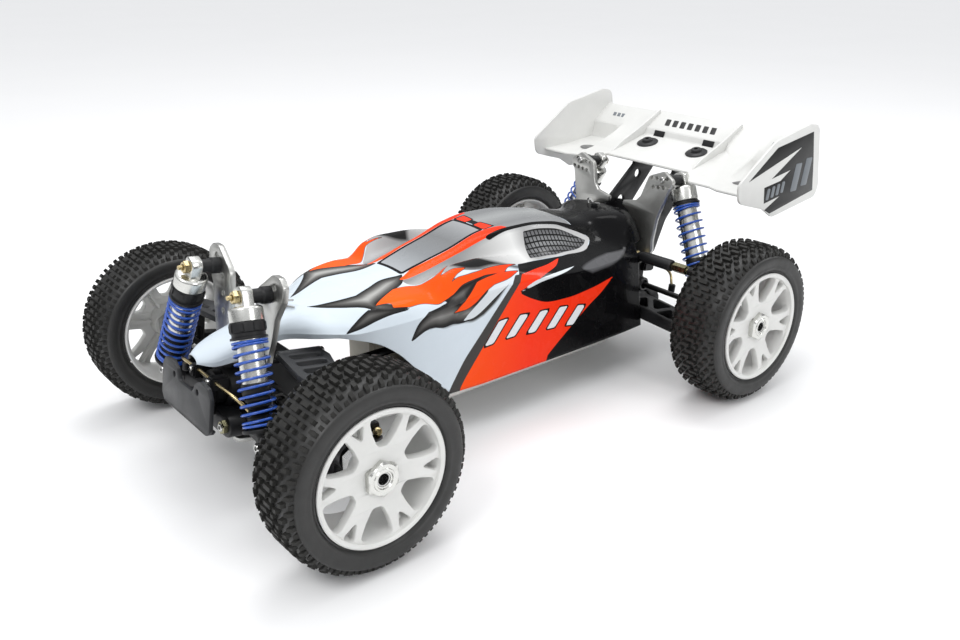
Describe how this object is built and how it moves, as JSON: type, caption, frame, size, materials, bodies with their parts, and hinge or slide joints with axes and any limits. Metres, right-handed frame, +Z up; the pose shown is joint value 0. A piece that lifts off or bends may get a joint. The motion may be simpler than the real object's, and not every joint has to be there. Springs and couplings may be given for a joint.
{
  "type": "radio-controlled off-road buggy",
  "caption": "Off-road radio-controlled buggy with wishbone suspension, coil-over shocks, steered front wheels, a painted body shell and a rear wing.",
  "frame": {"origin": "on the ground plane under the middle of the buggy's bounding box", "axes": "+X to the buggy's left side, -Y towards its front bumper, +Z up"},
  "size_m": [0.296, 0.495, 0.1845],
  "materials": {
    "aluminium": "satin anodised",
    "black_plastic": "black moulded nylon",
    "black_steel": "blackened steel",
    "blue_steel": "royal blue spring paint",
    "engine_metal": "dark cast alloy",
    "grey_plastic": "dark grey moulded nylon",
    "rubber": "matt black tread rubber",
    "shell_paint": "glossy painted clear polycarbonate",
    "steel": "plated steel",
    "tank_plastic": "milky moulded fuel tank plastic",
    "white_plastic": "white moulded nylon"
  },
  "bodies": {
    "chassis": {"chassis_plate": "aluminium", "front_gearbox": "black_plastic", "rear_gearbox": "black_plastic", "front_shock_tower": "aluminium", "rear_shock_tower": "aluminium", "front_bumper": "grey_plastic", "wing_mount": "black_plastic", "rear_wing": "white_plastic", "engine": "engine_metal", "tuned_pipe": "aluminium", "fuel_tank": "tank_plastic", "radio_box": "black_plastic", "body_shell": "shell_paint"},
    "servo_saver": {"servo_saver": "black_plastic"},
    "steering_link": {"steering_link": "aluminium"},
    "centre_drive": {"centre_drive": "black_steel"},
    "front_left_lower_arm": {"front_left_lower_arm": "black_plastic"},
    "front_left_c_hub": {"front_left_c_hub": "black_plastic"},
    "front_left_knuckle": {"front_left_knuckle": "black_plastic"},
    "front_left_upper_arm": {"front_left_upper_arm": "grey_plastic"},
    "front_left_tie_rod": {"front_left_tie_rod": "black_steel"},
    "front_left_drive_shaft": {"front_left_drive_shaft": "black_steel"},
    "front_left_shock_body": {"front_left_shock_body": "aluminium", "front_left_spring": "blue_steel"},
    "front_left_shock_rod": {"front_left_shock_rod": "black_plastic"},
    "front_left_wheel": {"front_left_tyre": "rubber", "front_left_rim": "white_plastic", "front_left_axle": "steel"},
    "front_right_lower_arm": {"front_right_lower_arm": "black_plastic"},
    "front_right_c_hub": {"front_right_c_hub": "black_plastic"},
    "front_right_knuckle": {"front_right_knuckle": "black_plastic"},
    "front_right_upper_arm": {"front_right_upper_arm": "grey_plastic"},
    "front_right_tie_rod": {"front_right_tie_rod": "black_steel"},
    "front_right_drive_shaft": {"front_right_drive_shaft": "black_steel"},
    "front_right_shock_body": {"front_right_shock_body": "aluminium", "front_right_spring": "blue_steel"},
    "front_right_shock_rod": {"front_right_shock_rod": "black_plastic"},
    "front_right_wheel": {"front_right_tyre": "rubber", "front_right_rim": "white_plastic", "front_right_axle": "steel"},
    "rear_left_lower_arm": {"rear_left_lower_arm": "black_plastic"},
    "rear_left_hub_carrier": {"rear_left_hub_carrier": "black_plastic"},
    "rear_left_camber_link": {"rear_left_camber_link": "black_plastic"},
    "rear_left_drive_shaft": {"rear_left_drive_shaft": "black_steel"},
    "rear_left_shock_body": {"rear_left_shock_body": "aluminium", "rear_left_spring": "blue_steel"},
    "rear_left_shock_rod": {"rear_left_shock_rod": "black_plastic"},
    "rear_left_wheel": {"rear_left_tyre": "rubber", "rear_left_rim": "white_plastic", "rear_left_axle": "steel"},
    "rear_right_lower_arm": {"rear_right_lower_arm": "black_plastic"},
    "rear_right_hub_carrier": {"rear_right_hub_carrier": "black_plastic"},
    "rear_right_camber_link": {"rear_right_camber_link": "black_plastic"},
    "rear_right_drive_shaft": {"rear_right_drive_shaft": "black_steel"},
    "rear_right_shock_body": {"rear_right_shock_body": "aluminium", "rear_right_spring": "blue_steel"},
    "rear_right_shock_rod": {"rear_right_shock_rod": "black_plastic"},
    "rear_right_wheel": {"rear_right_tyre": "rubber", "rear_right_rim": "white_plastic", "rear_right_axle": "steel"}
  },
  "joints": [
    {"name": "front_left_arm_swing", "type": "hinge", "parent": "chassis", "child": "front_left_lower_arm", "pos_m": [0.024, -0.19122, 0.04366], "axis": [0, -0.989, 0.1478], "range_deg": [0, 16], "stiffness_Nm_per_rad": 10, "springref_deg": -8.59},
    {"name": "front_left_c_hub_swing", "type": "hinge", "parent": "front_left_lower_arm", "child": "front_left_c_hub", "pos_m": [0.093, -0.19196, 0.03872], "axis": [0, -0.989, 0.1478], "range_deg": [-15.06, 0.3]},
    {"name": "front_left_upper_arm_swing", "type": "hinge", "parent": "chassis", "child": "front_left_upper_arm", "pos_m": [0.027, -0.18501, 0.0852], "axis": [0, -0.989, 0.1478], "range_deg": [-0.3, 16.25]},
    {"name": "front_left_shock_swing", "type": "hinge", "parent": "chassis", "child": "front_left_shock_body", "pos_m": [0.0334, -0.20463, 0.12979], "axis": [0, -0.989, 0.1478], "range_deg": [-0.3, 1.76]},
    {"name": "front_left_shock_stroke", "type": "slide", "parent": "front_left_shock_body", "child": "front_left_shock_rod", "axis": [-0.3907, 0.1361, 0.9104], "range_m": [-0.0003, 0.01211], "deforming": ["front_left_spring"]},
    {"name": "front_left_drive_shaft_swing", "type": "hinge", "parent": "chassis", "child": "front_left_drive_shaft", "pos_m": [0.033, -0.18885, 0.05949], "axis": [0, -0.989, 0.1478], "range_deg": [-0.3, 18.88]},
    {"name": "front_left_tie_rod_swing", "type": "hinge", "parent": "steering_link", "child": "front_left_tie_rod", "pos_m": [0.03, -0.16163, 0.05896], "axis": [0, -0.989, 0.1478], "range_deg": [-0.3, 16.57]},
    {"name": "front_left_steer", "type": "hinge", "parent": "front_left_c_hub", "child": "front_left_knuckle", "pos_m": [0.104, -0.189, 0.0585], "axis": [0, 0.1478, 0.989], "range_deg": [-28, 28]},
    {"name": "front_left_wheel_spin", "type": "hinge", "parent": "front_left_knuckle", "child": "front_left_wheel", "pos_m": [0.128, -0.189, 0.0585], "axis": [1, 0, 0], "continuous": true},
    {"name": "front_right_arm_swing", "type": "hinge", "parent": "chassis", "child": "front_right_lower_arm", "pos_m": [-0.024, -0.19122, 0.04366], "axis": [0, 0.989, -0.1478], "range_deg": [0, 16], "stiffness_Nm_per_rad": 10, "springref_deg": -8.59},
    {"name": "front_right_c_hub_swing", "type": "hinge", "parent": "front_right_lower_arm", "child": "front_right_c_hub", "pos_m": [-0.093, -0.19196, 0.03872], "axis": [0, 0.989, -0.1478], "range_deg": [-15.06, 0.3]},
    {"name": "front_right_upper_arm_swing", "type": "hinge", "parent": "chassis", "child": "front_right_upper_arm", "pos_m": [-0.027, -0.18501, 0.0852], "axis": [0, 0.989, -0.1478], "range_deg": [-0.3, 16.25]},
    {"name": "front_right_shock_swing", "type": "hinge", "parent": "chassis", "child": "front_right_shock_body", "pos_m": [-0.0334, -0.20463, 0.12979], "axis": [0, 0.989, -0.1478], "range_deg": [-0.3, 1.76]},
    {"name": "front_right_shock_stroke", "type": "slide", "parent": "front_right_shock_body", "child": "front_right_shock_rod", "axis": [0.3907, 0.1361, 0.9104], "range_m": [-0.0003, 0.01211], "deforming": ["front_right_spring"]},
    {"name": "front_right_drive_shaft_swing", "type": "hinge", "parent": "chassis", "child": "front_right_drive_shaft", "pos_m": [-0.033, -0.18885, 0.05949], "axis": [0, 0.989, -0.1478], "range_deg": [-0.3, 18.88]},
    {"name": "front_right_tie_rod_swing", "type": "hinge", "parent": "steering_link", "child": "front_right_tie_rod", "pos_m": [-0.03, -0.16163, 0.05896], "axis": [0, 0.989, -0.1478], "range_deg": [-0.3, 16.57]},
    {"name": "front_right_steer", "type": "hinge", "parent": "front_right_c_hub", "child": "front_right_knuckle", "pos_m": [-0.104, -0.189, 0.0585], "axis": [0, 0.1478, 0.989], "range_deg": [-28, 28]},
    {"name": "front_right_wheel_spin", "type": "hinge", "parent": "front_right_knuckle", "child": "front_right_wheel", "pos_m": [-0.128, -0.189, 0.0585], "axis": [1, 0, 0], "continuous": true},
    {"name": "rear_left_arm_swing", "type": "hinge", "parent": "chassis", "child": "rear_left_lower_arm", "pos_m": [0.024, 0.13378, 0.04366], "axis": [0, -0.989, 0.1478], "range_deg": [0, 17], "stiffness_Nm_per_rad": 10, "springref_deg": -8.59},
    {"name": "rear_left_hub_carrier_swing", "type": "hinge", "parent": "rear_left_lower_arm", "child": "rear_left_hub_carrier", "pos_m": [0.093, 0.13304, 0.03872], "axis": [0, -0.989, 0.1478], "range_deg": [-14.51, 0.3]},
    {"name": "rear_left_camber_link_swing", "type": "hinge", "parent": "chassis", "child": "rear_left_camber_link", "pos_m": [0.038, 0.13999, 0.0852], "axis": [0, -0.989, 0.1478], "range_deg": [-0.3, 20.7]},
    {"name": "rear_left_shock_swing", "type": "hinge", "parent": "chassis", "child": "rear_left_shock_body", "pos_m": [0.044, 0.16204, 0.14207], "axis": [0, -0.989, 0.1478], "range_deg": [-0.3, 2.61]},
    {"name": "rear_left_shock_stroke", "type": "slide", "parent": "rear_left_shock_body", "child": "rear_left_shock_rod", "axis": [-0.4337, 0.1332, 0.8912], "range_m": [-0.0003, 0.01929], "deforming": ["rear_left_spring"]},
    {"name": "rear_left_drive_shaft_swing", "type": "hinge", "parent": "chassis", "child": "rear_left_drive_shaft", "pos_m": [0.033, 0.13615, 0.05949], "axis": [0, -0.989, 0.1478], "range_deg": [-0.3, 20.15]},
    {"name": "rear_left_wheel_spin", "type": "hinge", "parent": "rear_left_hub_carrier", "child": "rear_left_wheel", "pos_m": [0.128, 0.136, 0.0585], "axis": [1, 0, 0], "continuous": true},
    {"name": "rear_right_arm_swing", "type": "hinge", "parent": "chassis", "child": "rear_right_lower_arm", "pos_m": [-0.024, 0.13378, 0.04366], "axis": [0, 0.989, -0.1478], "range_deg": [0, 17], "stiffness_Nm_per_rad": 10, "springref_deg": -8.59},
    {"name": "rear_right_hub_carrier_swing", "type": "hinge", "parent": "rear_right_lower_arm", "child": "rear_right_hub_carrier", "pos_m": [-0.093, 0.13304, 0.03872], "axis": [0, 0.989, -0.1478], "range_deg": [-14.51, 0.3]},
    {"name": "rear_right_camber_link_swing", "type": "hinge", "parent": "chassis", "child": "rear_right_camber_link", "pos_m": [-0.038, 0.13999, 0.0852], "axis": [0, 0.989, -0.1478], "range_deg": [-0.3, 20.7]},
    {"name": "rear_right_shock_swing", "type": "hinge", "parent": "chassis", "child": "rear_right_shock_body", "pos_m": [-0.044, 0.16204, 0.14207], "axis": [0, 0.989, -0.1478], "range_deg": [-0.3, 2.61]},
    {"name": "rear_right_shock_stroke", "type": "slide", "parent": "rear_right_shock_body", "child": "rear_right_shock_rod", "axis": [0.4337, 0.1332, 0.8912], "range_m": [-0.0003, 0.01929], "deforming": ["rear_right_spring"]},
    {"name": "rear_right_drive_shaft_swing", "type": "hinge", "parent": "chassis", "child": "rear_right_drive_shaft", "pos_m": [-0.033, 0.13615, 0.05949], "axis": [0, 0.989, -0.1478], "range_deg": [-0.3, 20.15]},
    {"name": "rear_right_wheel_spin", "type": "hinge", "parent": "rear_right_hub_carrier", "child": "rear_right_wheel", "pos_m": [-0.128, 0.136, 0.0585], "axis": [1, 0, 0], "continuous": true},
    {"name": "steering_link_slide", "type": "slide", "parent": "chassis", "child": "steering_link", "axis": [1, 0, 0], "range_m": [-0.013, 0.013]},
    {"name": "servo_saver_turn", "type": "hinge", "parent": "chassis", "child": "servo_saver", "pos_m": [0.014, -0.12966, 0.04963], "axis": [0, 0.1478, 0.989], "range_deg": [-30, 30]},
    {"name": "centre_drive_spin", "type": "hinge", "parent": "chassis", "child": "centre_drive", "pos_m": [0, 0, 0.052], "axis": [0, 1, 0], "continuous": true}
  ],
  "couplings": [
    {"joint": "front_left_c_hub_swing", "follows": "front_left_arm_swing", "ratio": -0.92242},
    {"joint": "front_left_upper_arm_swing", "follows": "front_left_arm_swing", "ratio": 0.99661},
    {"joint": "front_left_shock_swing", "follows": "front_left_arm_swing", "ratio": 0.09102},
    {"joint": "front_left_shock_stroke", "follows": "front_left_arm_swing", "m_per_rad": 0.042284},
    {"joint": "front_left_drive_shaft_swing", "follows": "front_left_arm_swing", "ratio": 1.161},
    {"joint": "front_left_tie_rod_swing", "follows": "front_left_arm_swing", "ratio": 1.017},
    {"joint": "front_right_c_hub_swing", "follows": "front_right_arm_swing", "ratio": -0.92242},
    {"joint": "front_right_upper_arm_swing", "follows": "front_right_arm_swing", "ratio": 0.99661},
    {"joint": "front_right_shock_swing", "follows": "front_right_arm_swing", "ratio": 0.09102},
    {"joint": "front_right_shock_stroke", "follows": "front_right_arm_swing", "m_per_rad": 0.042284},
    {"joint": "front_right_drive_shaft_swing", "follows": "front_right_arm_swing", "ratio": 1.161},
    {"joint": "front_right_tie_rod_swing", "follows": "front_right_arm_swing", "ratio": 1.017},
    {"joint": "front_right_steer", "follows": "front_left_steer", "ratio": 1},
    {"joint": "rear_left_hub_carrier_swing", "follows": "rear_left_arm_swing", "ratio": -0.83565},
    {"joint": "rear_left_camber_link_swing", "follows": "rear_left_arm_swing", "ratio": 1.1998},
    {"joint": "rear_left_shock_swing", "follows": "rear_left_arm_swing", "ratio": 0.13612},
    {"joint": "rear_left_shock_stroke", "follows": "rear_left_arm_swing", "m_per_rad": 0.063989},
    {"joint": "rear_left_drive_shaft_swing", "follows": "rear_left_arm_swing", "ratio": 1.1675},
    {"joint": "rear_right_hub_carrier_swing", "follows": "rear_right_arm_swing", "ratio": -0.83565},
    {"joint": "rear_right_camber_link_swing", "follows": "rear_right_arm_swing", "ratio": 1.1998},
    {"joint": "rear_right_shock_swing", "follows": "rear_right_arm_swing", "ratio": 0.13612},
    {"joint": "rear_right_shock_stroke", "follows": "rear_right_arm_swing", "m_per_rad": 0.063989},
    {"joint": "rear_right_drive_shaft_swing", "follows": "rear_right_arm_swing", "ratio": 1.1675},
    {"joint": "steering_link_slide", "follows": "front_left_steer", "m_per_rad": -0.026},
    {"joint": "servo_saver_turn", "follows": "front_left_steer", "ratio": -1.04}
  ]
}
